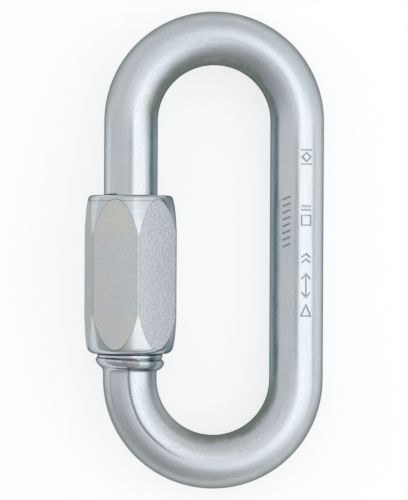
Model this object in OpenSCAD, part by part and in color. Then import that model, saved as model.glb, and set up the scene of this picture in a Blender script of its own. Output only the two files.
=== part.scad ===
// Oval chain quick link: a round steel bar bent into a loop, and a long hexagonal sleeve nut that closes it.
// It lies at rest on one leg and on the nut: +Y runs along the loop, +Z is up, and the nut is on the -X leg.

/* [Loop] */
// Diameter of the round bar
bar_d = 10; // [8:0.5:12]
// Clear length inside the loop, from crown to crown
inside_len = 69; // [60:1:84]
// Clear width inside the loop, from leg to leg
inside_w = 21; // [18:0.5:26]

/* [Threaded ends] */
// How far the thread's crest stands out past the bar
thread_rise = 1; // [0.8:0.1:1.4]
// Pitch of the thread
thread_pitch = 1.75; // [1.25:0.25:2]
// Length of the lower end that the closed nut holds
lower_grip = 5.5; // [4:0.5:8]
// Length of the upper end that the closed nut's thread holds
upper_grip = 6.5; // [4:0.5:8]
// Length of the upper end's thread that goes on into the nut's plain mouth
upper_tail = 4; // [3:0.1:5]
// Length over which the upper thread runs out to the bar
thread_runout = 0.6; // [0.4:0.1:1]
// Chamfer on the tip of each end
tip_chamfer = 0.8; // [0.4:0.1:1.2]

/* [Collar] */
// Straight bar between the lower bend and the collar
collar_rise = 1.2; // [0.8:0.1:3]
// Length of the collar's taper
collar_taper = 1.3; // [0.8:0.1:2.5]
// Thickness of the collar's half-round rim
collar_rim = 1.3; // [0.8:0.1:2]
// How far the collar stands out past the thread
collar_lip = 0.4; // [0.2:0.1:1.5]
// Lean of the forged collar towards the inside of the loop, in degrees
collar_lean = 3; // [0:0.5:4]
// Height of the seat ring that the closed nut stops on
seat_h = 0.7; // [0.6:0.1:1.5]
// How far the seat ring stands out past the thread
seat_lip = 0.1; // [0:0.1:0.2]

/* [Sleeve nut] */
// Width across the flats
nut_af = 16; // [15:0.5:20]
// Width of the narrow land along each corner
corner_land = 0.7; // [0.3:0.1:1.5]
// Distance from the nut's end to where its turned end meets the middle of a flat
flat_setback = 0.9; // [0.6:0.1:1.6]
// Distance from the nut's end to where its turned end meets a corner
corner_setback = 6.7; // [5.5:0.1:9]
// Radius of the slight barrel curve of the turned ends
end_barrel = 70; // [50:1:120]
// Rounding of the rim at the threaded end
rim_round = 1.5; // [0.6:0.1:1.6]
// Rounding of the rim at the plain mouth
mouth_rim_round = 0.8; // [0.6:0.1:1.6]
// How far the open nut runs onto the upper bend
run_on = 3.8; // [2:0.1:4.5]
// How much deeper the nut's plain mouth is than that
mouth_margin = 1.5; // [1:0.1:4]
// Countersink at the nut's threaded end
countersink = 0.7; // [0.3:0.1:1]
// Angle from the vertical of the corner that is uppermost at rest
nut_turn = 18; // [0:1:29]

/* [Clearances] */
// Radial clearance between the nut and the threaded ends, at the pitch line
thread_clear = 0.06; // [0.02:0.01:0.1]
// Clearance between the open nut's mouth and the bend
mouth_clear = 0.35; // [0.2:0.05:0.5]
// Clearance between the closed nut and its seat
seat_clear = 0.1; // [0.05:0.05:0.3]

/* [Hidden] */
$fn = 96;

// Loop
bar_r = bar_d / 2;
inside_r = inside_w / 2;
leg_x = inside_r + bar_r;
straight_len = inside_len - inside_w;
bend_y = straight_len / 2;

// Thread, drawn as plain cylinders on each side of its pitch line
thread_r = bar_r + thread_rise;
pitch_line_drop = thread_pitch * sqrt(3) * 3 / 16;
pitch_r = thread_r - pitch_line_drop;
end_r = pitch_r - thread_clear / 2;
bore_r = pitch_r + thread_clear / 2;

// Heights along the nut's leg
collar_y = -bend_y + collar_rise + collar_taper + collar_rim;
seat_y = collar_y + seat_h;
nut_y = seat_y + seat_clear;
mouth_len = run_on + mouth_margin;
nut_run = bend_y + run_on - nut_y;
gate_gap = (nut_run - upper_grip - mouth_len) / 2 - lower_grip;
nut_len = lower_grip + gate_gap + upper_grip + mouth_len;
lower_tip_y = nut_y + lower_grip;
upper_tip_y = lower_tip_y + gate_gap;
upper_thread_len = upper_grip + upper_tail;

// Collar
collar_r = thread_r + collar_lip;
seat_r = thread_r + seat_lip;
rim_r = collar_r - collar_rim / 2;
taper_bury = 0.4;
taper_len = collar_taper * (rim_r - bar_r + taper_bury) / (rim_r - bar_r);

// Nut section: a hexagon whose corners are turned down to narrow lands
corner_step = 60;
flat_r = nut_af / 2;
hex_r = flat_r / cos(corner_step / 2);
flat_half_w = flat_r * tan(corner_step / 2) - corner_land / sqrt(3);
corner_r = norm([flat_r, flat_half_w]);
land_half = corner_step / 2 - atan(flat_half_w / flat_r);
bend_shift = inside_r - sqrt(inside_r * inside_r - run_on * run_on);
mouth_r = bar_r + bend_shift + mouth_clear;

// Nut ends: a slight barrel curve through a flat's middle and a corner, rounded over into the end face
end_chord = norm([corner_r - flat_r, corner_setback - flat_setback]);
end_slope = atan((corner_r - flat_r) / (corner_setback - flat_setback));
barrel_depth = sqrt(end_barrel * end_barrel - end_chord * end_chord / 4);
barrel_x = (flat_r + corner_r) / 2 - barrel_depth * cos(end_slope);
barrel_z = (flat_setback + corner_setback) / 2 + barrel_depth * sin(end_slope);
function round_reach(r) = end_barrel - r;
function round_drop(r) = barrel_z - r;
function round_x(r) = barrel_x + sqrt(round_reach(r) * round_reach(r) - round_drop(r) * round_drop(r));
function round_top(r) = barrel_z - round_drop(r) * end_barrel / round_reach(r);

// Rest: the loop tips until the leg and the nut's lowest corner are both on the floor, centred on the origin
nut_axis_z = corner_r * cos(max(0, nut_turn - land_half));
nut_half_w = corner_r * sin(min(90, corner_step + nut_turn + land_half));
rest_tilt = asin((nut_axis_z - bar_r) / (2 * leg_x));
rest_x = (nut_half_w - bar_r) / 2;
rest_z = bar_r + leg_x * sin(rest_tilt);

// Cuts reach this far past the faces that they open
cut_past = 1;

// Lays down a shape made in the loop's own plane
module lay_down() {
    translate([rest_x, 0, rest_z])
        rotate([0, rest_tilt, 0])
            children();
}

// Stands a shape made on +Z on the nut's leg, with its base at height y along the loop
module on_nut_leg(y) {
    translate([-leg_x, y, 0])
        rotate([-90, 0, 0])
            children();
}

// Half-round bend that crosses the +Y end of the loop
module bend() {
    translate([0, bend_y, 0])
        rotate_extrude(angle = 180)
            translate([leg_x, 0])
                circle(r = bar_r);
}

// Threaded end, from its chamfered tip at z = 0
module threaded_end(len) {
    cylinder(r1 = end_r - tip_chamfer, r2 = end_r, h = tip_chamfer);
    translate([0, 0, tip_chamfer])
        cylinder(r = end_r, h = len - tip_chamfer);
}

// Collar, from the top of its rim at z = 0 down to where its taper has sunk into the bar
module collar() {
    translate([0, 0, -collar_rim])
        rotate_extrude() {
            square([rim_r, collar_rim]);
            translate([rim_r, collar_rim / 2])
                circle(d = collar_rim);
        }
    translate([0, 0, -collar_rim - taper_len])
        cylinder(r1 = bar_r - taper_bury, r2 = rim_r, h = taper_len);
}

// Half section of one end of the nut's turned blank, up to half its length, with a rim of radius r
module blank_end(r) {
    intersection() {
        square([corner_r, nut_len / 2]);
        translate([barrel_x, barrel_z])
            circle(r = end_barrel);
        union() {
            square([round_x(r), nut_len / 2]);
            translate([0, round_top(r)])
                square([corner_r, nut_len / 2]);
            translate([round_x(r), r])
                circle(r = r);
        }
    }
}

// Half section of the whole blank
module blank_section() {
    blank_end(rim_round);
    translate([0, nut_len])
        mirror([0, 1])
            blank_end(mouth_rim_round);
}

// Bore through the nut: countersink, thread, and the plain mouth that clears the bend
module nut_bore() {
    mouth_z = nut_len - mouth_len;
    translate([0, 0, -cut_past])
        cylinder(r = bore_r, h = nut_len);
    translate([0, 0, -cut_past])
        cylinder(r1 = bore_r + countersink + cut_past, r2 = bore_r, h = countersink + cut_past);
    translate([0, 0, mouth_z])
        cylinder(r = mouth_r, h = mouth_len + cut_past);
    translate([0, 0, mouth_z - (mouth_r - bore_r)])
        cylinder(r1 = bore_r, r2 = mouth_r, h = mouth_r - bore_r);
}

module link_body() {
    color([0.70, 0.73, 0.75])
        lay_down() {
            bend();
            rotate([0, 0, 180])
                bend();
            translate([leg_x, -bend_y, 0])
                rotate([-90, 0, 0])
                    cylinder(r = bar_r, h = straight_len);
            on_nut_leg(-bend_y)
                cylinder(r = bar_r, h = collar_y + bend_y);
            on_nut_leg(collar_y)
                rotate([0, collar_lean, 0])
                    collar();
            on_nut_leg(collar_y - collar_rim / 2)
                cylinder(r = seat_r, h = collar_rim / 2 + seat_h);
            on_nut_leg(lower_tip_y)
                rotate([180, 0, 0])
                    threaded_end(lower_tip_y - seat_y);
            on_nut_leg(upper_tip_y)
                threaded_end(upper_thread_len);
            on_nut_leg(upper_tip_y + upper_thread_len)
                cylinder(r1 = end_r, r2 = bar_r, h = thread_runout);
            on_nut_leg(upper_tip_y + upper_thread_len)
                cylinder(r = bar_r, h = bend_y - upper_tip_y - upper_thread_len);
        }
}

module sleeve_nut() {
    color([0.77, 0.77, 0.76])
        lay_down()
            on_nut_leg(nut_y)
                rotate([0, 0, nut_turn - rest_tilt])
                    difference() {
                        intersection() {
                            rotate([0, 0, corner_step / 2])
                                cylinder(r = hex_r, h = nut_len, $fn = 6);
                            rotate_extrude()
                                blank_section();
                        }
                        nut_bore();
                    }
}

link_body();
sleeve_nut();
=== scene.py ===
import math

import bmesh
import bpy
from mathutils import Matrix, Vector


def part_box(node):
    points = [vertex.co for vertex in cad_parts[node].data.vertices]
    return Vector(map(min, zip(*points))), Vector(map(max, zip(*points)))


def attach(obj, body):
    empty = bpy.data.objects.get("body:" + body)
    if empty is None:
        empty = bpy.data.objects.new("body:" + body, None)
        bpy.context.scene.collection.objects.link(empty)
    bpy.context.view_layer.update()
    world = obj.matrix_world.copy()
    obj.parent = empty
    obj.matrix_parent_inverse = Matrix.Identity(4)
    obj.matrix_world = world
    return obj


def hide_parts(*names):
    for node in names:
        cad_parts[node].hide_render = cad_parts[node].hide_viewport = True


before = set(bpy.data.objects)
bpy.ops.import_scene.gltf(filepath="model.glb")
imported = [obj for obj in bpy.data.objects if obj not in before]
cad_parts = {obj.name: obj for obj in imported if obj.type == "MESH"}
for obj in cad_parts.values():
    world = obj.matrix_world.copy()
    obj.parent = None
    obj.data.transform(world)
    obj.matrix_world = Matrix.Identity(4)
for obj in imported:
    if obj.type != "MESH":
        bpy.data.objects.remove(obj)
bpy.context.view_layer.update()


def clearSelection():
    if bpy.context.object and bpy.context.object.mode != "OBJECT":
        bpy.ops.object.mode_set(mode="OBJECT")
    bpy.ops.object.select_all(action="DESELECT")


def makeActive(piece):
    clearSelection()
    piece.select_set(True)
    bpy.context.view_layer.objects.active = piece


def applyPlace():
    bpy.ops.object.transform_apply(location=True, rotation=True, scale=True)


def pickVerts(piece, test):
    mesh = bmesh.from_edit_mesh(piece.data)
    for vert in mesh.verts:
        vert.select_set(test(vert.co))
    mesh.select_flush(True)
    bmesh.update_edit_mesh(piece.data)


def pickEdges(piece, test):
    mesh = bmesh.from_edit_mesh(piece.data)
    for face in mesh.faces:
        face.select_set(False)
    for edge in mesh.edges:
        edge.select_set(False)
    for edge in mesh.edges:
        if test(edge.verts[0].co, edge.verts[1].co):
            edge.select_set(True)
    bmesh.update_edit_mesh(piece.data)


def pickFaces(piece, test):
    mesh = bmesh.from_edit_mesh(piece.data)
    for face in mesh.faces:
        face.select_set(test(face.calc_center_median()))
    bmesh.update_edit_mesh(piece.data)


# Tubes, in millimetres: a ring of points around a leg is extruded from station to station (height, radius)
tubeLimits = {
    "legReach": 9.0,  # every point of a leg is nearer than this to its axis
    "sameRing": 1e-4,  # heights this close are one ring
    "ringSlack": 0.01,  # and this is well short of the next ring
    "mergeGap": 0.0005,
}


def startTube(name, axisX, y, radius, sides):
    clearSelection()
    bpy.ops.mesh.primitive_circle_add(
        vertices=sides, radius=radius, fill_type="NOTHING",
        location=(axisX, y, 0), rotation=(-math.pi / 2, 0, 0))
    piece = bpy.context.object
    piece.name = name
    applyPlace()
    bpy.ops.object.mode_set(mode="EDIT")
    bpy.ops.mesh.select_mode(type="VERT")
    bpy.ops.mesh.select_all(action="SELECT")
    return piece


# The first station is the ring that is selected
def growTube(axisX, stations):
    for (y, radius), (nextY, nextRadius) in zip(stations, stations[1:]):
        bpy.ops.mesh.extrude_edges_move(TRANSFORM_OT_translate={"value": (0, nextY - y, 0)})
        if nextRadius != radius:
            scale = nextRadius / radius
            bpy.ops.transform.resize(value=(scale, 1, scale), center_override=(axisX, nextY, 0))


# A long step of a tube gets its rings from cuts across its long edges
def cutLongStep(piece, axisX, low, high, cuts):
    def isLong(a, b):
        return (abs(a.x - axisX) < tubeLimits["legReach"]
                and abs(min(a.y, b.y) - low) < tubeLimits["sameRing"]
                and abs(max(a.y, b.y) - high) < tubeLimits["sameRing"])
    bpy.ops.mesh.select_mode(type="EDGE")
    pickEdges(piece, isLong)
    bpy.ops.mesh.subdivide(number_cuts=cuts)
    bpy.ops.mesh.select_mode(type="VERT")


def closeTube(piece, axisX, y):
    pickVerts(piece, lambda co: abs(co.x - axisX) < tubeLimits["legReach"]
              and abs(co.y - y) < tubeLimits["sameRing"])
    bpy.ops.mesh.edge_face_add()


def finishMesh(piece):
    bpy.ops.mesh.select_all(action="SELECT")
    bpy.ops.mesh.remove_doubles(threshold=tubeLimits["mergeGap"])
    bpy.ops.mesh.normals_make_consistent(inside=False)
    bpy.ops.object.mode_set(mode="OBJECT")


def applyBoolean(piece, cutter, operation):
    makeActive(piece)
    cut = piece.modifiers.new("cut", "BOOLEAN")
    cut.operation = operation
    cut.solver = "EXACT"
    cut.object = cutter
    bpy.ops.object.modifier_apply(modifier=cut.name)
    bpy.data.objects.remove(cutter)


def setRadius(co, axisX, radius):
    offset = Vector((co.x - axisX, 0, co.z))
    offset *= radius / offset.length
    co.x = axisX + offset.x
    co.z = offset.z


def smoothStep(low, high, value):
    t = min(1, max(0, (value - low) / (high - low)))
    return t * t * (3 - 2 * t)


# The bar as it is bent and cut, in millimetres, flat in its own plane: nut leg at -X, +Y along the loop
loopSize = {
    "barRadius": 5.0,
    "legX": 15.5,
    "bendY": 24.0,
    "barSides": 96,
    "bendSteps": 72,
    "plainLegCuts": 143,
    "nutLegCuts": 8,
    "smoothAngle": 30,
}
threadSize = {
    "pitch": 1.75,
    "pitchRadius": 5.40,
    "pitchLine": 0.25,  # pitches from a crest to where its flank crosses the pitch radius
    "crest": 5.95,
    "root": 4.95,
    "ringsPerPitch": 20,
    "upperTip": -1.7,
    "upperEnd": 9.4,
    "fadeFrom": 8.0,
    "lowerTip": -13.9,
    "lowerStart": -19.2,
    "tipRadius": 4.6,
}
collarSize = {
    "taper": ((-22.95, 5.0), (-22.75, 5.02), (-22.55, 5.07), (-22.38, 5.16), (-22.24, 5.3), (-22.12, 5.47),
              (-22.0, 5.66), (-21.86, 5.84), (-21.68, 6.01), (-21.48, 6.15), (-21.26, 6.27), (-21.05, 6.35)),
    "rimTop": -20.2,
    "rimRound": 0.65,
    "rimRadius": 5.75,
    "rimAngles": (-8, 8, 25, 40, 52),
    "groove": ((-20.26, 5.97), (-20.2, 5.9), (-20.14, 5.95)),
    "seat": ((-20.08, 6.05), (-20.02, 6.1), (-19.6, 6.1), (-19.54, 6.07), (-19.5, 6.0), (-19.49, 5.3)),
    "lean": 3.0,
    "leanStart": (-22.95, -22.0),
    "leanEnd": (-20.1, -20.35),
}


# Right-hand thread on the nut's leg: height of the 60 degree flank at a point, between root and crest
def threadHeight(co, pitchRadius, root, crest):
    phase = co.y / threadSize["pitch"] - math.atan2(co.x + loopSize["legX"], co.z) / (2 * math.pi)
    fromCrest = abs(phase - round(phase))
    flank = pitchRadius + (threadSize["pitchLine"] - fromCrest) * threadSize["pitch"] * math.sqrt(3)
    return min(crest, max(root, flank))


def countRings(length):
    return round(length * threadSize["ringsPerPitch"] / threadSize["pitch"])


def collarStations():
    rimY = collarSize["rimTop"] - collarSize["rimRound"]
    rim = []
    for angle in collarSize["rimAngles"]:
        turn = math.radians(angle)
        rim.append((rimY + collarSize["rimRound"] * math.sin(turn),
                    collarSize["rimRadius"] + collarSize["rimRound"] * math.cos(turn)))
    return [*collarSize["taper"], *rim, *collarSize["groove"], *collarSize["seat"]]


# On the nut's leg the thread is cut into both ends, and the collar leans
def shapeNutLeg(co):
    legX = loopSize["legX"]
    slack = tubeLimits["ringSlack"]
    if co.x > 0 or abs(co.y) > loopSize["bendY"] - slack:
        return
    onUpper = threadSize["upperTip"] - slack < co.y < threadSize["upperEnd"] - slack
    onLower = threadSize["lowerStart"] + slack < co.y < threadSize["lowerTip"] + slack
    if onUpper or onLower:
        fromTip = co.y - threadSize["upperTip"] if onUpper else threadSize["lowerTip"] - co.y
        fade = smoothStep(threadSize["fadeFrom"], threadSize["upperEnd"], co.y)
        limit = threadSize["crest"] + (loopSize["barRadius"] - threadSize["crest"]) * fade
        height = threadHeight(co, threadSize["pitchRadius"], threadSize["root"], threadSize["crest"])
        setRadius(co, -legX, min(height, limit, threadSize["tipRadius"] + fromTip))
    else:
        lean = smoothStep(*collarSize["leanStart"], co.y) * smoothStep(*collarSize["leanEnd"], co.y)
        co.y -= math.tan(math.radians(collarSize["lean"])) * (co.x + legX) * lean


def spinBend(bendY):
    bpy.ops.mesh.spin(steps=loopSize["bendSteps"], angle=math.pi, center=(0, bendY, 0), axis=(0, 0, 1))


# Bar of the link: upper threaded end, top bend, plain leg, bottom bend, collar, lower threaded end
def makeLinkBody():
    legX = loopSize["legX"]
    bendY = loopSize["bendY"]
    barRadius = loopSize["barRadius"]
    upperTip, upperEnd = threadSize["upperTip"], threadSize["upperEnd"]
    lowerTip, lowerStart = threadSize["lowerTip"], threadSize["lowerStart"]
    piece = startTube("linkBar", -legX, upperTip, barRadius, loopSize["barSides"])
    growTube(-legX, [(upperTip, barRadius), (upperEnd, barRadius), (bendY, barRadius)])
    spinBend(bendY)
    growTube(legX, [(bendY, barRadius), (-bendY, barRadius)])
    spinBend(-bendY)
    growTube(-legX, [(-bendY, barRadius), *collarStations(), (lowerStart, barRadius), (lowerTip, barRadius)])
    closeTube(piece, -legX, lowerTip)
    closeTube(piece, -legX, upperTip)
    cutLongStep(piece, -legX, upperTip, upperEnd, countRings(upperEnd - upperTip))
    cutLongStep(piece, -legX, lowerStart, lowerTip, countRings(lowerTip - lowerStart))
    cutLongStep(piece, -legX, upperEnd, bendY, loopSize["nutLegCuts"])
    cutLongStep(piece, legX, -bendY, bendY, loopSize["plainLegCuts"])
    finishMesh(piece)
    for vert in piece.data.vertices:
        shapeNutLeg(vert.co)
    pressMarks(piece)
    return piece


# Pressed marks on the plain leg: a load arrow and plain shapes, as strokes from (around, along) to
# (around, along) in millimetres
markSize = {
    "width": 0.36,
    "depth": 0.17,
    "cuts": 5,
    "cutReach": 0.6,  # faces this near to a stroke are cut fine
    "clearOfBend": 2.0,
    "hatchStep": 1.25,
    "hatchCount": 8,
    "outside": 1.65,  # the two rows of marks, by their place around the bar
    "inside": -2.2,
}
loadArrow = [(0, -2.2, 0, 2.2), (0, 2.2, 0.8, 1.3), (0, 2.2, -0.8, 1.3),
             (0, -2.2, 0.8, -1.3), (0, -2.2, -0.8, -1.3)]
barredLozenge = [(-1, 1.3, 1, 1.3), (-1, -1.3, 1, -1.3), (0, 0.8, 0.9, 0),
                 (0.9, 0, 0, -0.8), (0, -0.8, -0.9, 0), (-0.9, 0, 0, 0.8)]
barsOverBox = [(-0.9, 1.9, 0.9, 1.9), (-0.9, 1.2, 0.9, 1.2), (-0.9, 0.2, 0.9, 0.2),
               (0.9, 0.2, 0.9, -1.6), (0.9, -1.6, -0.9, -1.6), (-0.9, -1.6, -0.9, 0.2)]
chevrons = [(-0.8, 0.3, 0, 0.9), (0, 0.9, 0.8, 0.3), (-0.8, -0.7, 0, -0.1), (0, -0.1, 0.8, -0.7)]
smallTriangle = [(-1, -0.9, 1, -0.9), (1, -0.9, 0, 1.1), (0, 1.1, -1, -0.9)]
hatching = [(-0.75, step * markSize["hatchStep"] - 4.4, 0.75, step * markSize["hatchStep"] - 3.8)
            for step in range(markSize["hatchCount"])]
markPlaces = [
    (barredLozenge, "outside", 17.3),
    (barsOverBox, "outside", 6.3),
    (chevrons, "outside", -1.5),
    (loadArrow, "outside", -6.5),
    (smallTriangle, "outside", -11.2),
    (hatching, "inside", 5.0),
]


def listStrokes():
    strokes = []
    for marks, row, height in markPlaces:
        for startAround, startAlong, endAround, endAlong in marks:
            strokes.append((Vector((markSize[row] + startAround, height + startAlong)),
                            Vector((markSize[row] + endAround, height + endAlong))))
    return strokes


# Distance from a point of the plain leg, unrolled flat, to the nearest stroke
def nearestStroke(co, strokes):
    place = Vector((math.atan2(co.x - loopSize["legX"], co.z) * loopSize["barRadius"], co.y))
    gaps = []
    for start, end in strokes:
        run = end - start
        share = min(1, max(0, (place - start).dot(run) / run.length_squared))
        gaps.append((place - start - run * share).length)
    return min(gaps)


def isMarkedSide(co):
    return co.x > 0 and co.z > 0 and abs(co.y) < loopSize["bendY"] - markSize["clearOfBend"]


# The bar is cut fine around the strokes, and the points under each stroke are pressed in
def pressMarks(piece):
    strokes = listStrokes()
    makeActive(piece)
    bpy.ops.object.mode_set(mode="EDIT")
    bpy.ops.mesh.select_mode(type="FACE")
    pickFaces(piece, lambda co: isMarkedSide(co) and nearestStroke(co, strokes) < markSize["cutReach"])
    bpy.ops.mesh.subdivide(number_cuts=markSize["cuts"])
    bpy.ops.mesh.select_mode(type="VERT")
    bpy.ops.object.mode_set(mode="OBJECT")
    for vert in piece.data.vertices:
        if isMarkedSide(vert.co):
            pressed = smoothStep(markSize["width"] / 2, 0, nearestStroke(vert.co, strokes))
            setRadius(vert.co, loopSize["legX"], loopSize["barRadius"] - markSize["depth"] * pressed)


# Sleeve nut, in the same millimetres: a turned blank cut to a hexagon, then bored and threaded
nutSize = {
    "bottom": -19.4,
    "top": 10.1,
    "flatRadius": 8.0,
    "cornerRadius": 9.0426,
    "flatSetback": 0.9,
    "cornerSetback": 6.7,
    "barrel": 70.0,
    "rimRound": 1.5,
    "mouthRimRound": 0.8,
    "roundSteps": 14,
    "barrelSteps": 14,
    "turn": 11.14,
    "boreSides": 96,
    "blankSides": 180,
    "mouthRadius": 6.062,
    "mouthFrom": 4.8,
    "groove": 6.05,
    "ridge": 5.10,
    "pitchRadius": 5.47,
    "countersink": 0.7,
    "hexPast": 2.0,  # how far each cutter runs past the nut's ends, and its thread past the threaded part
    "borePast": 1.0,
    "threadBelow": 0.1,
    "threadAbove": 0.2,
    "edgeWear": 0.1,
    "wearSegments": 2,
    "wearAngle": 9,
    "flatLean": 0.01,  # how near a face lies to a flat or to the bore, to take that finish
    "flatDepth": 0.004,
    "boreSlack": 0.05,
    "smoothAngle": 8,
}
nutSlots = flatSlot, endSlot, boreSlot, edgeSlot = range(4)


# One turned end, as (distance from the end, radius): a rounded rim, then a slight barrel out to the corners
def blankEnd(rimRound):
    barrel = nutSize["barrel"]
    flatSetback, cornerSetback = nutSize["flatSetback"], nutSize["cornerSetback"]
    flatRadius, cornerRadius = nutSize["flatRadius"], nutSize["cornerRadius"]
    rise = cornerRadius - flatRadius
    run = cornerSetback - flatSetback
    slope = math.atan2(rise, run)
    depth = math.sqrt(barrel ** 2 - (rise * rise + run * run) / 4)
    barrelX = (flatRadius + cornerRadius) / 2 - depth * math.cos(slope)
    barrelY = (flatSetback + cornerSetback) / 2 + depth * math.sin(slope)
    reach = barrel - rimRound
    drop = barrelY - rimRound
    roundX = barrelX + math.sqrt(reach * reach - drop * drop)
    roundEnd = math.atan2(-drop, roundX - barrelX)
    stations = []
    for step in range(nutSize["roundSteps"] + 1):
        turn = -math.pi / 2 + (roundEnd + math.pi / 2) * step / nutSize["roundSteps"]
        stations.append((rimRound + rimRound * math.sin(turn), roundX + rimRound * math.cos(turn)))
    startY = stations[-1][0]
    for step in range(1, nutSize["barrelSteps"] + 1):
        y = startY + (cornerSetback - startY) * step / nutSize["barrelSteps"]
        stations.append((y, barrelX + math.sqrt(barrel ** 2 - (y - barrelY) ** 2)))
    return stations


def makeNutBlank():
    legX = loopSize["legX"]
    lower = [(nutSize["bottom"] + y, radius) for y, radius in blankEnd(nutSize["rimRound"])]
    upper = [(nutSize["top"] - y, radius) for y, radius in reversed(blankEnd(nutSize["mouthRimRound"]))]
    stations = lower + upper
    piece = startTube("sleeveNut", -legX, *stations[0], nutSize["blankSides"])
    growTube(-legX, stations)
    closeTube(piece, -legX, nutSize["bottom"])
    closeTube(piece, -legX, nutSize["top"])
    finishMesh(piece)
    return piece


def makeHexBar():
    clearSelection()
    length = nutSize["top"] - nutSize["bottom"] + 2 * nutSize["hexPast"]
    middle = (nutSize["top"] + nutSize["bottom"]) / 2
    bpy.ops.mesh.primitive_cylinder_add(
        vertices=6, radius=nutSize["flatRadius"] / math.cos(math.pi / 6), depth=length,
        rotation=(-math.pi / 2, 0, 0))
    piece = bpy.context.object
    applyPlace()
    corner = piece.data.vertices[0].co
    piece.rotation_euler = (0, math.radians(nutSize["turn"]) - math.atan2(corner.x, corner.z), 0)
    piece.location = (-loopSize["legX"], middle, 0)
    applyPlace()
    return piece


def makeBoreCutter():
    legX = loopSize["legX"]
    ridge = nutSize["ridge"]
    bottom = nutSize["bottom"] - nutSize["borePast"]
    top = nutSize["top"] + nutSize["borePast"]
    threadBottom = nutSize["bottom"] - nutSize["threadBelow"]
    threadTop = nutSize["mouthFrom"] + nutSize["threadAbove"]
    piece = startTube("boreCutter", -legX, bottom, ridge, nutSize["boreSides"])
    growTube(-legX, [(bottom, ridge), (threadBottom, ridge), (threadTop, ridge), (top, ridge)])
    closeTube(piece, -legX, bottom)
    closeTube(piece, -legX, top)
    cutLongStep(piece, -legX, threadBottom, threadTop, countRings(threadTop - threadBottom))
    finishMesh(piece)
    for vert in piece.data.vertices:
        co = vert.co
        height = threadHeight(co, nutSize["pitchRadius"], ridge, nutSize["groove"])
        sink = nutSize["groove"] + nutSize["countersink"] / 2 - (co.y - nutSize["bottom"])
        mouth = nutSize["mouthRadius"] - max(0, nutSize["mouthFrom"] - co.y)
        setRadius(co, -legX, max(height, sink, mouth))
    return piece


def makeSleeveNut():
    piece = makeNutBlank()
    applyBoolean(piece, makeHexBar(), "INTERSECT")
    makeActive(piece)
    for slot in nutSlots:
        piece.data.materials.append(None)
    wear = piece.modifiers.new("edgeWear", "BEVEL")
    wear.material = edgeSlot
    wear.width = nutSize["edgeWear"]
    wear.segments = nutSize["wearSegments"]
    wear.limit_method = "ANGLE"
    wear.angle_limit = math.radians(nutSize["wearAngle"])
    bpy.ops.object.modifier_apply(modifier=wear.name)
    applyBoolean(piece, makeBoreCutter(), "DIFFERENCE")
    bpy.ops.object.mode_set(mode="EDIT")
    bpy.ops.mesh.select_mode(type="VERT")
    finishMesh(piece)
    return piece


# Flats, turned ends, bore and worn edges of the nut take their own finish
def sortNutFaces(piece):
    for face in piece.data.polygons:
        if face.material_index == edgeSlot:
            continue
        out = Vector((face.center.x + loopSize["legX"], 0, face.center.z))
        facing = out.dot(face.normal)
        onFlat = (abs(face.normal.y) < nutSize["flatLean"]
                  and abs(facing - nutSize["flatRadius"]) < nutSize["flatDepth"])
        inBore = facing < 0 or out.length < nutSize["mouthRadius"] + nutSize["boreSlack"]
        face.material_index = flatSlot if onFlat else boreSlot if inBore else endSlot


# Coordinates that the finishes follow, in millimetres: the bar as if unbent, and the nut about its own axis
def storeAttribute(piece, name, kind, field, values):
    attribute = piece.data.attributes.new(name, kind, "POINT")
    attribute.data.foreach_set(field, values)


def unbend(co):
    legX = loopSize["legX"]
    bendY = loopSize["bendY"]
    half = 1 if co.y > 0 else -1
    if abs(co.y) > bendY:
        rise = abs(co.y) - bendY
        return legX - math.hypot(co.x, rise), half * (bendY + math.atan2(rise, co.x) * legX), co.z
    if co.x > 0:
        return legX - co.x, co.y, co.z
    gateY = (threadSize["upperTip"] + threadSize["lowerTip"]) / 2
    end = 1 if co.y > gateY else -1
    return legX + co.x, end * (2 * bendY + math.pi * legX) - co.y, co.z


def storeBarCoords(piece):
    coords = []
    for vert in piece.data.vertices:
        coords += unbend(vert.co)
    storeAttribute(piece, "barCoords", "FLOAT_VECTOR", "vector", coords)


def storeNutCoords(piece):
    middle = (nutSize["top"] + nutSize["bottom"]) / 2
    coords = []
    flatGaps = []
    for vert in piece.data.vertices:
        x, y, z = vert.co.x + loopSize["legX"], vert.co.y - middle, vert.co.z
        fromFlat = (math.atan2(x, z) - math.radians(nutSize["turn"])) % (math.pi / 3) - math.pi / 6
        coords += [x, y, z]
        flatGaps.append(nutSize["flatRadius"] - math.hypot(x, z) * math.cos(fromFlat))
    storeAttribute(piece, "nutCoords", "FLOAT_VECTOR", "vector", coords)
    storeAttribute(piece, "flatGap", "FLOAT", "value", flatGaps)


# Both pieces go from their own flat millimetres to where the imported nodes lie
metresPerMillimetre = 0.001
nutLow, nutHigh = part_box("sleeve_nut")
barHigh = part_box("link_body")[1]
nutAxis = (nutLow + nutHigh) / 2
plainLegZ = loopSize["barRadius"] * metresPerMillimetre
plainLegX = barHigh.x - plainLegZ
restTilt = math.atan2(nutAxis.z - plainLegZ, plainLegX - nutAxis.x)
loopCentre = Vector(((nutAxis.x + plainLegX) / 2, 0, (nutAxis.z + plainLegZ) / 2))
loopFrame = Matrix.Translation(loopCentre) @ Matrix.Rotation(restTilt, 4, "Y")
print("rest tilt", round(math.degrees(restTilt), 3),
      "loop centre", [round(v / metresPerMillimetre, 3) for v in loopCentre])


def placePiece(piece, smoothAngle):
    makeActive(piece)
    bpy.ops.object.shade_smooth_by_angle(angle=math.radians(smoothAngle))
    piece.matrix_world = loopFrame @ Matrix.Scale(metresPerMillimetre, 4)
    applyPlace()


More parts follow.
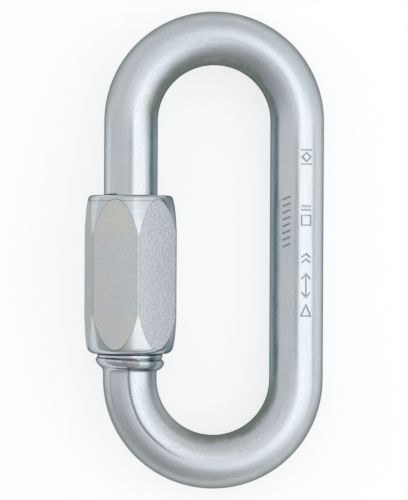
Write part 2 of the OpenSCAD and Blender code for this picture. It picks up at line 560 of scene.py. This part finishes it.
linkBar = makeLinkBody()
storeBarCoords(linkBar)
print("link bar", len(linkBar.data.polygons), "faces")
sleeveNut = makeSleeveNut()
storeNutCoords(sleeveNut)
sortNutFaces(sleeveNut)
print("sleeve nut", len(sleeveNut.data.polygons), "faces",
      [sum(face.material_index == slot for face in sleeveNut.data.polygons) for slot in nutSlots])
placePiece(linkBar, loopSize["smoothAngle"])
placePiece(sleeveNut, nutSize["smoothAngle"])


# Shader building: each call adds a node, sets what is plain and links what is a socket
def setSocket(tree, socket, value):
    if isinstance(value, bpy.types.NodeSocket):
        tree.links.new(value, socket)
    elif socket.type == "RGBA":
        socket.default_value = (*value, 1)
    else:
        socket.default_value = value


def addNode(tree, kind, sockets=None, **settings):
    node = tree.nodes.new(kind)
    for name, value in settings.items():
        setattr(node, name, value)
    for name, value in (sockets or {}).items():
        setSocket(tree, node.inputs[name], value)
    return node


def addMath(tree, operation, first, second=0.0, third=0.0, clamp=False):
    node = addNode(tree, "ShaderNodeMath", {0: first, 1: second, 2: third},
                   operation=operation, use_clamp=clamp)
    return node.outputs[0]


def addProduct(tree, first, *others):
    for other in others:
        first = addMath(tree, "MULTIPLY", first, other)
    return first


def addLargest(tree, first, *others):
    for other in others:
        first = addMath(tree, "MAXIMUM", first, other)
    return first


# A spread is (from, to), or (from, to, value at the first, value at the second)
def addSpread(tree, value, spread):
    low, high, toLow, toHigh = spread if len(spread) == 4 else (*spread, 0.0, 1.0)
    node = addNode(tree, "ShaderNodeMapRange", {"Value": value, "From Min": low, "From Max": high,
                                                "To Min": toLow, "To Max": toHigh},
                   interpolation_type="SMOOTHSTEP")
    return node.outputs["Result"]


# A band comes in over one spread and goes out over another
def addBand(tree, value, start, end):
    return addProduct(tree, addSpread(tree, value, start), addSpread(tree, value, end))


# A stripe is strongest at its middle and fades to both sides
def addStripe(tree, value, middle, spread):
    gap = addMath(tree, "ABSOLUTE", addMath(tree, "SUBTRACT", value, middle))
    return addSpread(tree, gap, spread)


def addBlend(tree, factor, first, second):
    return addNode(tree, "ShaderNodeMix", {"Factor": factor, "A": first, "B": second}).outputs["Result"]


def addMix(tree, factor, first, second):
    node = addNode(tree, "ShaderNodeMix", {"Factor": factor, 6: first, 7: second}, data_type="RGBA")
    return node.outputs[2]


def addNoise(tree, coords, scale, detail=2.0, stretch=(1, 1, 1)):
    mapping = addNode(tree, "ShaderNodeMapping", {"Vector": coords, "Scale": stretch})
    noise = addNode(tree, "ShaderNodeTexNoise",
                    {"Vector": mapping.outputs[0], "Scale": scale, "Detail": detail})
    return noise.outputs["Fac"]


def addBump(tree, shader, height, depth):
    bump = addNode(tree, "ShaderNodeBump", {"Height": height, "Distance": depth})
    tree.links.new(bump.outputs[0], shader.inputs["Normal"])


def splitCoords(tree, coords):
    split = addNode(tree, "ShaderNodeSeparateXYZ", {0: coords})
    return split.outputs["X"], split.outputs["Y"], split.outputs["Z"]


def newGroup(name, inputs, outputs):
    tree = bpy.data.node_groups.new(name, "ShaderNodeTree")
    for label, kind in inputs:
        tree.interface.new_socket(name=label, in_out="INPUT", socket_type="NodeSocket" + kind)
    for label, kind in outputs:
        tree.interface.new_socket(name=label, in_out="OUTPUT", socket_type="NodeSocket" + kind)
    return tree, tree.nodes.new("NodeGroupInput").outputs, tree.nodes.new("NodeGroupOutput").inputs


def useGroup(tree, group, sockets):
    return addNode(tree, "ShaderNodeGroup", sockets, node_tree=group)


maskMiddle = 0.5  # noise, lines and grain all run from 0 to 1

# Effects that the finishes share, with their scales per millimetre
effectLook = {
    "edgeTint": (0.20, 0.24, 0.25),
    "cloudSpread": (0.35, 0.68),
    "cloudDetail": 3.0,
    "speckScale": 2.2,
    "speckDetail": 3.0,
    "speckSpread": (0.2, 0.6, 0.72, 1.0),
    "fleckScale": 3.6,
    "fleckSpread": (0.3, 0.7, 0.91, 1.0),
    "streakGain": 0.09,
    "lineDetail": 3.0,
    "lineRoughness": 0.6,
    "lineSpread": (0.25, 0.75),
    "dentShare": 0.6,
    "grainSpread": (0.35, 1.15),
}


# Plating: cloudy cool and warm patches, and a dull dark tone laid over them by a mask: thin plating in some
# places, painted dark reflection and painted light in others
def makePlatingGroup():
    tree, given, put = newGroup(
        "zincPlating",
        [("Coords", "Vector"), ("Cool", "Color"), ("Warm", "Color"), ("Dull", "Color"), ("Dull Mask", "Float"),
         ("Cloud Size", "Float"), ("Streak", "Float")],
        [("Tone", "Color"), ("Cloud", "Float")])
    scale = addMath(tree, "DIVIDE", 1.0, given["Cloud Size"])
    cloud = addNode(tree, "ShaderNodeTexNoise",
                    {"Vector": given["Coords"], "Scale": scale, "Detail": effectLook["cloudDetail"]})
    cloudy = addSpread(tree, cloud.outputs["Fac"], effectLook["cloudSpread"])
    tone = addMix(tree, cloudy, given["Cool"], given["Warm"])
    speck = addNoise(tree, given["Coords"], effectLook["speckScale"], effectLook["speckDetail"])
    specked = addSpread(tree, speck, effectLook["speckSpread"])
    # The dull mask is partly thin plating and partly painted dark reflection
    broken = addMath(tree, "MULTIPLY", given["Dull Mask"], specked, clamp=True)
    mixed = addMix(tree, broken, tone, given["Dull"])
    fleck = addNoise(tree, given["Coords"], effectLook["fleckScale"])
    lit = addMath(tree, "MULTIPLY_ADD", given["Streak"], effectLook["streakGain"],
                  addSpread(tree, fleck, effectLook["fleckSpread"]))
    flecked = addNode(tree, "ShaderNodeVectorMath", {0: mixed, "Scale": lit}, operation="SCALE")
    tree.links.new(flecked.outputs[0], put["Tone"])
    tree.links.new(cloudy, put["Cloud"])
    return tree


# Fine lines left by drawing or turning, long in one direction of the coordinates
def makeLinesGroup():
    tree, given, put = newGroup(
        "drawnLines",
        [("Coords", "Vector"), ("Stretch", "Vector"), ("Fineness", "Float")],
        [("Lines", "Float")])
    drawn = addNode(tree, "ShaderNodeVectorMath", {0: given["Coords"], 1: given["Stretch"]},
                    operation="MULTIPLY")
    fine = addNode(tree, "ShaderNodeTexNoise", {
        "Vector": drawn.outputs[0], "Scale": given["Fineness"],
        "Detail": effectLook["lineDetail"], "Roughness": effectLook["lineRoughness"]})
    tree.links.new(addSpread(tree, fine.outputs["Fac"], effectLook["lineSpread"]), put["Lines"])
    return tree


# Peened grain: small rounded dents of uneven size
def makeGrainGroup():
    tree, given, put = newGroup(
        "peenedGrain", [("Coords", "Vector"), ("Grain Size", "Float")], [("Grain", "Float")])
    scale = addMath(tree, "DIVIDE", 1.0, given["Grain Size"])
    dents = addNode(tree, "ShaderNodeTexVoronoi", {"Vector": given["Coords"], "Scale": scale},
                    feature="SMOOTH_F1")
    rough = addNode(tree, "ShaderNodeTexNoise", {"Vector": given["Coords"], "Scale": scale})
    both = addMath(tree, "MULTIPLY_ADD", dents.outputs["Distance"], effectLook["dentShare"],
                   rough.outputs["Fac"])
    tree.links.new(addSpread(tree, both, effectLook["grainSpread"]), put["Grain"])
    return tree


zincPlating = makePlatingGroup()
drawnLines = makeLinesGroup()
peenedGrain = makeGrainGroup()


def startMetal(name, attribute):
    material = bpy.data.materials.new(name)
    material.use_nodes = True
    tree = material.node_tree
    shader = tree.nodes["Principled BSDF"]
    shader.inputs["Metallic"].default_value = 1
    setSocket(tree, shader.inputs["Specular Tint"], effectLook["edgeTint"])
    coords = addNode(tree, "ShaderNodeAttribute", attribute_name=attribute).outputs["Vector"]
    return material, tree, shader, coords


# Finish of the bar: bright zinc over drawn steel, duller and wrinkled inside the bends, with painted dark
# reflections inside the legs and on both sides of the bends, and a painted highlight along the bends' crown.
# Runs are millimetres of bar from the middle of the plain leg, positive towards the upper end. Films and
# painted shades are shares of the bar's radius towards the inside of the loop, and widths are millimetres
barFinish = {
    "cool": (0.598, 0.643, 0.680),
    "warm": (0.632, 0.655, 0.662),
    # Lighter tones laid along the crown of the bends: a painted highlight
    "coolCrownHighlight": (0.698, 0.745, 0.790),
    "warmCrownHighlight": (0.722, 0.755, 0.785),
    "crownHighlightWidth": (0.12, 0.46, 1.0, 0.0),
    # Dull tones: on the legs a painted dark reflection of the shaded inside of the loop; in the bends partly a
    # real dull wrinkled film, partly painted reflection; a darker tone on the thread ends
    "paintedLegReflection": (0.190, 0.285, 0.310),
    "bendFilmAndShade": (0.245, 0.275, 0.245),
    "dullThread": (0.250, 0.255, 0.250),
    "cloudSize": 14.0,
    "bendStart": (18, 32),
    "bendFade": 6,
    "topRun": (-10, 10),
    "waverScale": 0.35,
    "legWaver": 0.05,
    "bendWaver": 0.22,
    "darkLinesWaver": 0.3,
    # Painted dark reflection: a narrow line inside the legs
    "legReflectionStart": (0.66, 0.80),
    "legReflectionEnd": (0.84, 0.98, 1.0, 0.35),
    # Inside the bends: partly a real dull wrinkled film, partly painted reflection of darker surroundings
    "topFilmAndShade": (0.34, 0.90),
    "topFilmAndShadeRun": (30, 56, 0.28, 1.0),
    "topFilmAndShadeDeep": (0.68, 0.86),
    "bottomFilmAndShade": (0.64, 0.88),
    "bottomFilmAndShadeRun": (-66, -49, 0.35, 1.0),
    # Painted dark reflection on the outside of the bends
    "outerReflection": (-0.95, -0.55, 0.55, 0.0),
    # On the right half of the top bend: partly real dull film, partly painted reflection
    "rightFilmAndShade": (-0.14, 0.16, 0.0, 0.22),
    "rightFilmAndShadeStart": (25, 33),
    "rightFilmAndShadeEnd": (38, 50, 1.0, 0.0),
    # Painted reflection of a dark gap between lights, as a dark line from the collar into the bottom bend, and
    # a second dark line on its outer side
    "darkLinesWidth": (0.09, 0.36, 0.95, 0.0),
    "darkLinesStart": (-76, -74.6),
    "darkLinesEnd": (-62, -50, 1.0, 0.0),
    "outerDarkLineSide": -3.55,
    "outerDarkLineWidth": (0.05, 0.22, 0.55, 0.0),
    "outerDarkLineStart": (-74.2, -73.4),
    "outerDarkLineEnd": (-69, -60, 1.0, 0.0),
    "upperThread": (86.8, 88.0, 0.0, 0.7),
    "lowerThread": (-77.6, -77.2, 0.7, 0.0),
    "pitScale": 3.2,
    "pitSpread": (0.58, 0.70, 0.0, 0.5),
    "pitFilm": (-0.2, 0.5, 0.3, 1.0),
    "ground": (0.420, 0.395, 0.405),  # spot ground on the collar
    "spotMiddle": (0.35, -75.75),
    "spotHalf": (1.75, 0.9),
    "spotEdge": (0.75, 1.1, 1.0, 0.0),
    "spotScale": 2.4,
    "spotSpread": (0.3, 0.6, 0.65, 1.0),
    "legRoughness": 0.18,
    "bendRoughness": 0.16,
    "dullRoughness": 0.14,
    "lineRoughness": 0.06,
    "spotRoughness": 0.22,
    "lineStretch": (1, 0.04, 1),
    "lineFineness": 3.5,
    "lineDepth": 0.000006,
    "creaseScale": 1.6,  # heights of the rest are in line depths
    "creaseDetail": 3.0,
    "creaseStretch": (1, 1.8, 1),
    "creaseHeight": 2.5,
    "peelScale": 4.0,
    "peelBend": 3.8,
    "peelLeg": 0.4,
    "scratchScale": 3.0,
    "scratchDetail": 3.0,
    "scratchStretch": (1.6, 0.5, 1),
    "scratchHeight": 9.0,
}


# Dull film and painted reflection: a narrow painted dark line inside the legs, where they mirror the shaded
# inside of the loop; wide and uneven inside the bends, partly a real dull wrinkled film and partly painted
# reflection of darker surroundings; and a faint painted darkening on their outside
def addFilmAndPaintedReflection(tree, inward, run, bend, waver):
    look = barFinish
    # Painted dark reflection of the shaded inside of the loop, as a narrow line inside the legs
    paintedLegLine = addBand(tree, addMath(tree, "MULTIPLY_ADD", waver, look["legWaver"], inward),
                    look["legReflectionStart"], look["legReflectionEnd"])
    deeper = addMath(tree, "MULTIPLY_ADD", waver, look["bendWaver"], inward)
    # Inside the bends: partly real dull film, partly painted reflection
    topWide = addProduct(tree, addSpread(tree, deeper, look["topFilmAndShade"]),
                         addSpread(tree, run, look["topFilmAndShadeRun"]))
    onTop = addLargest(tree, topWide, addSpread(tree, deeper, look["topFilmAndShadeDeep"]))
    onBottom = addProduct(tree, addSpread(tree, deeper, look["bottomFilmAndShade"]),
                          addSpread(tree, run, look["bottomFilmAndShadeRun"]))
    insideBend = addBlend(tree, addSpread(tree, run, look["topRun"]), onBottom, onTop)
    # Painted dark reflection on the outside of the bends
    paintedOuterShade = addSpread(tree, deeper, look["outerReflection"])
    onRight = addProduct(tree, addSpread(tree, deeper, look["rightFilmAndShade"]),
                         addBand(tree, run, look["rightFilmAndShadeStart"], look["rightFilmAndShadeEnd"]))
    filmAndPaintedReflection = addBlend(tree, bend, paintedLegLine, addLargest(tree, insideBend, paintedOuterShade, onRight))
    pitted = addSpread(tree, deeper, look["pitFilm"])
    return filmAndPaintedReflection, pitted


# Two fine dark lines run from the collar into the bottom bend: the middle one is a painted reflection of a dark
# gap between lights, the other runs along the outer side
def addDarkLines(tree, side, run, waver):
    look = barFinish
    wavering = addMath(tree, "MULTIPLY_ADD", waver, look["darkLinesWaver"], side)
    # Painted reflection of a dark gap between lights, down the middle of the bar
    paintedReflectedLine = addProduct(tree, addStripe(tree, wavering, 0.0, look["darkLinesWidth"]),
                            addBand(tree, run, look["darkLinesStart"], look["darkLinesEnd"]))
    outerDarkLine = addProduct(tree, addStripe(tree, side, look["outerDarkLineSide"], look["outerDarkLineWidth"]),
                           addBand(tree, run, look["outerDarkLineStart"], look["outerDarkLineEnd"]))
    return addLargest(tree, paintedReflectedLine, outerDarkLine)


def addGroundSpot(tree, side, run):
    out = []
    for place, middle, half in zip((side, run), barFinish["spotMiddle"], barFinish["spotHalf"]):
        out.append(addMath(tree, "DIVIDE", addMath(tree, "SUBTRACT", place, middle), half))
    squared = addMath(tree, "MULTIPLY_ADD", out[0], out[0], addProduct(tree, out[1], out[1]))
    return addSpread(tree, squared, barFinish["spotEdge"])


def makeBarFinish():
    look = barFinish
    material, tree, shader, coords = startMetal("zincOnDrawnBar", "barCoords")
    side, run, face = splitCoords(tree, coords)
    inward = addMath(tree, "DIVIDE", side, loopSize["barRadius"])
    bendEnd = loopSize["bendY"] + math.pi * loopSize["legX"]
    bend = addBand(tree, addMath(tree, "ABSOLUTE", run), look["bendStart"],
                   (bendEnd - look["bendFade"], bendEnd + look["bendFade"], 1.0, 0.0))
    waver = addMath(tree, "SUBTRACT", addNoise(tree, coords, look["waverScale"]), maskMiddle)
    filmAndPaintedReflection, pitted = addFilmAndPaintedReflection(tree, inward, run, bend, waver)
    onFace = addMath(tree, "GREATER_THAN", face, 0.0)
    # Dark lines, the middle one a painted reflection
    darkLines = addProduct(tree, addDarkLines(tree, side, run, waver), onFace)
    spot = addProduct(tree, addGroundSpot(tree, side, run), onFace)
    threads = addLargest(tree, addSpread(tree, run, look["upperThread"]),
                         addSpread(tree, run, look["lowerThread"]))
    pits = addSpread(tree, addNoise(tree, coords, look["pitScale"]), look["pitSpread"])
    worn = addLargest(tree, darkLines, threads, addProduct(tree, pits, bend, pitted))
    # Dull mask: real dull film in the bends, dark thread ends and pits, together with the painted dark
    # reflections
    filmAndPaintedShade = addLargest(tree, filmAndPaintedReflection, worn)
    lines = useGroup(tree, drawnLines, {
        "Coords": coords, "Stretch": look["lineStretch"], "Fineness": look["lineFineness"]}).outputs["Lines"]
    fromCrown = addMath(tree, "ABSOLUTE", inward)
    # Painted highlight along the crown of the bends
    crownHighlight = addProduct(tree, bend, addSpread(tree, fromCrown, look["crownHighlightWidth"]))
    # Dull tone: painted reflection on the legs, partly real film in the bends
    filmAndShadeTone = addMix(tree, bend, look["paintedLegReflection"], look["bendFilmAndShade"])
    plating = useGroup(tree, zincPlating, {
        "Coords": coords,
        "Cool": addMix(tree, crownHighlight, look["cool"], look["coolCrownHighlight"]),
        "Warm": addMix(tree, crownHighlight, look["warm"], look["warmCrownHighlight"]),
        "Dull": addMix(tree, threads, filmAndShadeTone, look["dullThread"]),
        "Dull Mask": filmAndPaintedShade, "Cloud Size": look["cloudSize"], "Streak": lines})
    uneven = addSpread(tree, addNoise(tree, coords, look["spotScale"]), look["spotSpread"])
    ground = addProduct(tree, spot, uneven)
    tone = addMix(tree, ground, plating.outputs["Tone"], look["ground"])
    tree.links.new(tone, shader.inputs["Base Color"])
    bent = addMath(tree, "MULTIPLY_ADD", bend, look["bendRoughness"], look["legRoughness"])
    dulled = addMath(tree, "MULTIPLY_ADD", filmAndPaintedShade, look["dullRoughness"], bent)
    lineSwing = addMath(tree, "SUBTRACT", lines, maskMiddle)
    streaked = addMath(tree, "MULTIPLY_ADD", lineSwing, look["lineRoughness"], dulled)
    rough = addMath(tree, "MULTIPLY_ADD", spot, look["spotRoughness"], streaked)
    tree.links.new(rough, shader.inputs["Roughness"])
    wrinkles = addNoise(tree, coords, look["creaseScale"], look["creaseDetail"], look["creaseStretch"])
    creased = addProduct(tree, wrinkles, addProduct(tree, filmAndPaintedShade, look["creaseHeight"]))
    peel = addProduct(tree, addNoise(tree, coords, look["peelScale"]),
                      addMath(tree, "MULTIPLY_ADD", bend, look["peelBend"], look["peelLeg"]))
    scratches = addNoise(tree, coords, look["scratchScale"], look["scratchDetail"], look["scratchStretch"])
    scratched = addProduct(tree, scratches, addProduct(tree, spot, look["scratchHeight"]))
    height = addMath(tree, "ADD", addMath(tree, "ADD", lines, creased), addMath(tree, "ADD", peel, scratched))
    addBump(tree, shader, height, look["lineDepth"])
    return material


# Finish of the nut, in millimetres about its middle: peened flats, turned ends, oiled thread and worn edges,
# with painted light on the side that faces the inside of the loop: a bluer, more glinting tone on the flats and
# a dark reflection on the turned ends
nutFinish = {
    "flatCool": (0.690, 0.700, 0.712),
    "flatWarm": (0.722, 0.708, 0.670),
    # The flats on the side towards the inside of the loop take a bluer tone and stronger glints: painted light
    "paintedSideTone": (0.680, 0.697, 0.730),
    "paintedLightSide": (-1, 4),
    "flatCloud": 6.0,
    "flatRoughness": 0.48,
    "grainRoughness": 0.12,
    "grainSize": 0.27,
    "grainDepth": 0.000034,
    "sparkle": 0.8,
    "paintedSideGlint": 1.9,
    "endCool": (0.590, 0.640, 0.670),
    "endWarm": (0.640, 0.645, 0.635),
    "dull": (0.230, 0.290, 0.300),
    "endCloud": 4.0,
    "endRoughness": 0.13,
    "turnedRoughness": 0.08,
    "landRoughness": 0.3,
    # Painted dark reflection of the shaded inside of the loop, on the ends' side that faces it
    "paintedLoopReflectionStart": (5.9, 6.9),
    "paintedLoopReflectionEnd": (7.2, 8.0, 0.9, 0.3),
    "tongueOutline": (0.012, 0.06, 0.9, 0.0),
    "land": (7.15, 8.35, 1.0, 0.0),
    "landFilm": 0.22,
    "toolMark": 13.65,
    "toolMarkWidth": (0.05, 0.13, 0.6, 0.0),
    "lineStretch": (0.05, 1, 0.05),
    "lineFineness": 4.0,
    "lineDepth": 0.000004,
    "boreFilm": 0.8,
    "boreCloud": 2.0,
    "boreRoughness": 0.3,
    "oilRoughness": 0.12,
    "edgeFilm": 1.0,
    "edgeCloud": 3.0,
    "edgeRoughness": 0.3,
    "plainStreak": 0.5,
}


def makeFlatFinish():
    look = nutFinish
    material, tree, shader, coords = startMetal("zincOnPeenedFlats", "nutCoords")
    grain = useGroup(tree, peenedGrain, {"Coords": coords, "Grain Size": look["grainSize"]}).outputs["Grain"]
    # Painted light: a bluer tone and stronger glints on the flats' side towards the inside of the loop
    paintedLightSide = addSpread(tree, splitCoords(tree, coords)[0], look["paintedLightSide"])
    coarse = addMath(tree, "MULTIPLY_ADD", paintedLightSide, look["paintedSideGlint"], look["sparkle"])
    grainSwing = addMath(tree, "SUBTRACT", grain, maskMiddle)
    sparkle = addMath(tree, "MULTIPLY_ADD", grainSwing, coarse, maskMiddle)
    plating = useGroup(tree, zincPlating, {
        "Coords": coords, "Cool": look["flatCool"], "Warm": look["flatWarm"], "Dull": look["paintedSideTone"],
        "Dull Mask": paintedLightSide, "Cloud Size": look["flatCloud"], "Streak": sparkle})
    tree.links.new(plating.outputs["Tone"], shader.inputs["Base Color"])
    rough = addMath(tree, "MULTIPLY_ADD", grain, look["grainRoughness"], look["flatRoughness"])
    tree.links.new(rough, shader.inputs["Roughness"])
    addBump(tree, shader, sparkle, look["grainDepth"])
    return material


# Turned ends, bore and edges share their colours, and differ in how much dull tone they take: thin plating on
# all of them, and on the turned ends also a painted dark reflection on the side that faces the inside of the
# loop
def plateNut(tree, shader, coords, filmAndPaintedShade, cloudSize, streak):
    plating = useGroup(tree, zincPlating, {
        "Coords": coords, "Cool": nutFinish["endCool"], "Warm": nutFinish["endWarm"], "Dull": nutFinish["dull"],
        "Dull Mask": filmAndPaintedShade, "Cloud Size": cloudSize, "Streak": streak})
    tree.links.new(plating.outputs["Tone"], shader.inputs["Base Color"])
    return plating


def makeEndFinish():
    look = nutFinish
    material, tree, shader, coords = startMetal("zincOnTurnedEnds", "nutCoords")
    across, along = splitCoords(tree, coords)[:2]
    # Painted dark reflection of the shaded inside of the loop, on the ends' side that faces it
    paintedLoopReflection = addBand(tree, across, look["paintedLoopReflectionStart"], look["paintedLoopReflectionEnd"])
    gap = addNode(tree, "ShaderNodeAttribute", attribute_name="flatGap").outputs["Fac"]
    outline = addSpread(tree, gap, look["tongueOutline"])
    land = addSpread(tree, addMath(tree, "ABSOLUTE", along), look["land"])
    toolMark = addStripe(tree, along, look["toolMark"], look["toolMarkWidth"])
    filmAndPaintedShade = addLargest(tree, paintedLoopReflection, outline, addProduct(tree, land, look["landFilm"]), toolMark)
    lines = useGroup(tree, drawnLines, {
        "Coords": coords, "Stretch": look["lineStretch"], "Fineness": look["lineFineness"]}).outputs["Lines"]
    plateNut(tree, shader, coords, filmAndPaintedShade, look["endCloud"], lines)
    turned = addMath(tree, "MULTIPLY_ADD", lines, look["turnedRoughness"], look["endRoughness"])
    rough = addMath(tree, "MULTIPLY_ADD", land, look["landRoughness"], turned)
    tree.links.new(rough, shader.inputs["Roughness"])
    addBump(tree, shader, lines, look["lineDepth"])
    return material


def makeBoreFinish():
    look = nutFinish
    material, tree, shader, coords = startMetal("oiledThread", "nutCoords")
    plating = plateNut(tree, shader, coords, look["boreFilm"], look["boreCloud"], look["plainStreak"])
    rough = addMath(tree, "MULTIPLY_ADD", plating.outputs["Cloud"], look["oilRoughness"], look["boreRoughness"])
    tree.links.new(rough, shader.inputs["Roughness"])
    return material


def makeEdgeFinish():
    look = nutFinish
    material, tree, shader, coords = startMetal("wornEdges", "nutCoords")
    plateNut(tree, shader, coords, look["edgeFilm"], look["edgeCloud"], look["plainStreak"])
    shader.inputs["Roughness"].default_value = look["edgeRoughness"]
    return material


linkBar.data.materials.append(makeBarFinish())
nutFinishes = (makeFlatFinish(), makeEndFinish(), makeBoreFinish(), makeEdgeFinish())
for slot, finish in zip(nutSlots, nutFinishes):
    sleeveNut.data.materials[slot] = finish
print("finishes made")

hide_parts("link_body")
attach(linkBar, "link")
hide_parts("sleeve_nut")
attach(sleeveNut, "nut")

# Studio, in metres: pale floor, even sky, one soft box on the right, and a camera square to the loop
studio = {
    "floorSize": 6.0,
    "floorCuts": 3,
    "floorTone": 0.95,
    "floorWhite": 0.62,
    "floorGlow": 1.12,
    "skyAlong": ((0.0, 0.50), (0.09, 0.52), (0.18, 0.62), (0.3, 0.72),
                 (0.5, 0.76), (0.8, 0.78), (0.955, 0.73), (1.0, 0.60)),
    "skyTint": (0.980, 1.0, 1.022),
    "haze": (-0.42, 0.06),  # parts of the sky, by their direction across or along the loop
    "hazeGain": 0.24,
    "ceiling": (0.08, 0.17),
    "ceilingGain": 0.38,
    "ceilingLow": (-0.62, -0.30),
    "ceilingHigh": (0.38, 0.82, 1.0, 0.0),
    "ceilingLean": 0.5,
    "ceilingRim": (0.80, 0.98, 1.0, 0.0),
    "cornerAcross": (-0.45, 0.08, 1.0, 0.0),
    "cornerAlong": (-0.34, -0.02, 1.0, 0.0),
    "cornerShade": 0.34,
    "boxDistance": 0.6,
    "boxNearAngle": 10,
    "boxFarAngle": 70,
    "boxLow": -0.30,
    "boxHigh": 0.54,
    "boxRadiance": 0.17,
    "cameraHeight": 0.5,
    "cameraSide": -0.00177,
    "cameraRoll": 0.3,
    "cameraClip": 0.01,
    "sensorHeight": 36,
    "imageHeight": 0.09333,
    "bodyHalf": (0.082, 0.056),
    "bodyShift": -0.006,
    "bodyLift": 0.03,
    "bodyTone": 0.56,
}

clearSelection()
bpy.ops.mesh.primitive_plane_add(size=studio["floorSize"])
floor = bpy.context.object
floor.name = "studioFloor"
bpy.ops.object.mode_set(mode="EDIT")
bpy.ops.mesh.subdivide(number_cuts=studio["floorCuts"])
bpy.ops.object.mode_set(mode="OBJECT")
floorPaint = bpy.data.materials.new("floorPaint")
floorPaint.use_nodes = True
floorTree = floorPaint.node_tree
floorTree.nodes.clear()
lightPath = addNode(floorTree, "ShaderNodeLightPath").outputs
seen = addLargest(floorTree, lightPath["Is Camera Ray"], lightPath["Is Glossy Ray"],
                  lightPath["Is Transmission Ray"])
matt = addNode(floorTree, "ShaderNodeBsdfDiffuse", {"Color": (studio["floorTone"],) * 3})
white = addNode(floorTree, "ShaderNodeEmission", {"Strength": studio["floorGlow"]})
glow = addProduct(floorTree, seen, studio["floorWhite"])
lifted = addNode(floorTree, "ShaderNodeMixShader", {"Fac": glow, 1: matt.outputs[0], 2: white.outputs[0]})
addNode(floorTree, "ShaderNodeOutputMaterial", {"Surface": lifted.outputs[0]})
floor.data.materials.append(floorPaint)
print("floor laid")

# Sky: falls off towards both ends of the loop, with a bright ceiling over the camera and to its right
world = bpy.data.worlds.new("studioSky")
bpy.context.scene.world = world
world.use_nodes = True
sky = world.node_tree
direction = addNode(sky, "ShaderNodeTexCoord").outputs["Generated"]
alongSky = splitCoords(sky, direction)[1]
loopAcross = (math.cos(restTilt), 0, -math.sin(restTilt))
acrossSky = addNode(sky, "ShaderNodeVectorMath", {0: direction, 1: loopAcross},
                    operation="DOT_PRODUCT").outputs["Value"]
alongRamp = addMath(sky, "MULTIPLY_ADD", alongSky, 0.5, 0.5)  # -1 to 1 becomes 0 to 1
ramp = addNode(sky, "ShaderNodeValToRGB", {"Fac": alongRamp})
while len(ramp.color_ramp.elements) < len(studio["skyAlong"]):
    ramp.color_ramp.elements.new(0.5)
for stop, (place, tone) in zip(ramp.color_ramp.elements, studio["skyAlong"]):
    stop.position = place
    stop.color = tuple(tone * tint for tint in studio["skyTint"]) + (1,)
haze = addProduct(sky, addSpread(sky, acrossSky, studio["haze"]), studio["hazeGain"])
sheet = addProduct(sky, addSpread(sky, acrossSky, studio["ceiling"]), studio["ceilingGain"])
lowEdge = addSpread(sky, addMath(sky, "ADD", alongSky, acrossSky), studio["ceilingLow"])
leaning = addMath(sky, "MULTIPLY_ADD", acrossSky, studio["ceilingLean"], alongSky)
highEdge = addSpread(sky, leaning, studio["ceilingHigh"])
fromTop = addMath(sky, "MULTIPLY_ADD", acrossSky, acrossSky, addProduct(sky, alongSky, alongSky))
rimEdge = addSpread(sky, fromTop, studio["ceilingRim"])
ceiling = addProduct(sky, addMath(sky, "ADD", haze, sheet), rimEdge, addProduct(sky, lowEdge, highEdge))
corner = addProduct(sky, addSpread(sky, acrossSky, studio["cornerAcross"]),
                    addSpread(sky, alongSky, studio["cornerAlong"]))
shade = addMath(sky, "MULTIPLY_ADD", corner, -studio["cornerShade"], 1.0)
strength = addProduct(sky, addMath(sky, "ADD", ceiling, 1.0), shade)
sky.links.new(ramp.outputs["Color"], sky.nodes["Background"].inputs["Color"])
sky.links.new(strength, sky.nodes["Background"].inputs["Strength"])


# Soft box: its near and far edges are at two angles from straight above the loop
def boxEdge(angle):
    turn = math.radians(angle)
    return Vector((math.sin(turn), 0, math.cos(turn))) * studio["boxDistance"]


near = boxEdge(studio["boxNearAngle"])
far = boxEdge(studio["boxFarAngle"])
boxWidth = (far - near).length
boxLength = studio["boxHigh"] - studio["boxLow"]
across = (far - near).normalized()
along = Vector((0, 1, 0))
boxTurn = Matrix((across, along, across.cross(along))).transposed().to_4x4()
boxMiddle = (near + far) / 2 + along * (studio["boxHigh"] + studio["boxLow"]) / 2
bpy.ops.object.light_add(type="AREA")
softBox = bpy.context.object
softBox.name = "softBox"
softBox.data.shape = "RECTANGLE"
softBox.data.size = boxWidth
softBox.data.size_y = boxLength
softBox.data.energy = studio["boxRadiance"] * math.pi * boxWidth * boxLength
softBox.matrix_world = loopFrame @ Matrix.Translation(boxMiddle) @ boxTurn
softBox.visible_camera = False
print("sky and soft box lit")

bpy.ops.object.camera_add()
camera = bpy.context.object
camera.name = "photoCamera"
camera.data.sensor_fit = "VERTICAL"
camera.data.sensor_height = studio["sensorHeight"]
camera.data.lens = studio["sensorHeight"] * studio["cameraHeight"] / studio["imageHeight"]
camera.data.clip_start = studio["cameraClip"]
camera.matrix_world = (loopFrame @ Matrix.Translation((studio["cameraSide"], 0, studio["cameraHeight"]))
                       @ Matrix.Rotation(math.radians(studio["cameraRoll"]), 4, "Z"))
bpy.context.scene.camera = camera
bpy.context.scene.view_settings.view_transform = "Standard"

# Grey camera body just above the lens: the metal mirrors it, and nothing else sees it
clearSelection()
bpy.ops.mesh.primitive_plane_add(size=2)
cameraBody = bpy.context.object
cameraBody.name = "cameraBody"
bodyPlace = Vector((studio["cameraSide"] + studio["bodyShift"], 0,
                    studio["cameraHeight"] + studio["bodyLift"]))
cameraBody.matrix_world = (loopFrame @ Matrix.Translation(bodyPlace)
                           @ Matrix.Diagonal((*studio["bodyHalf"], 1, 1)))
bodyGrey = bpy.data.materials.new("bodyGrey")
bodyGrey.use_nodes = True
bodyShader = bodyGrey.node_tree.nodes["Principled BSDF"]
bodyShader.inputs["Base Color"].default_value = (0, 0, 0, 1)
bodyShader.inputs["Emission Color"].default_value = (studio["bodyTone"],) * 3 + (1,)
bodyShader.inputs["Emission Strength"].default_value = 1
cameraBody.data.materials.append(bodyGrey)
cameraBody.visible_camera = False
cameraBody.visible_shadow = False
cameraBody.visible_diffuse = False

print("scene ready")
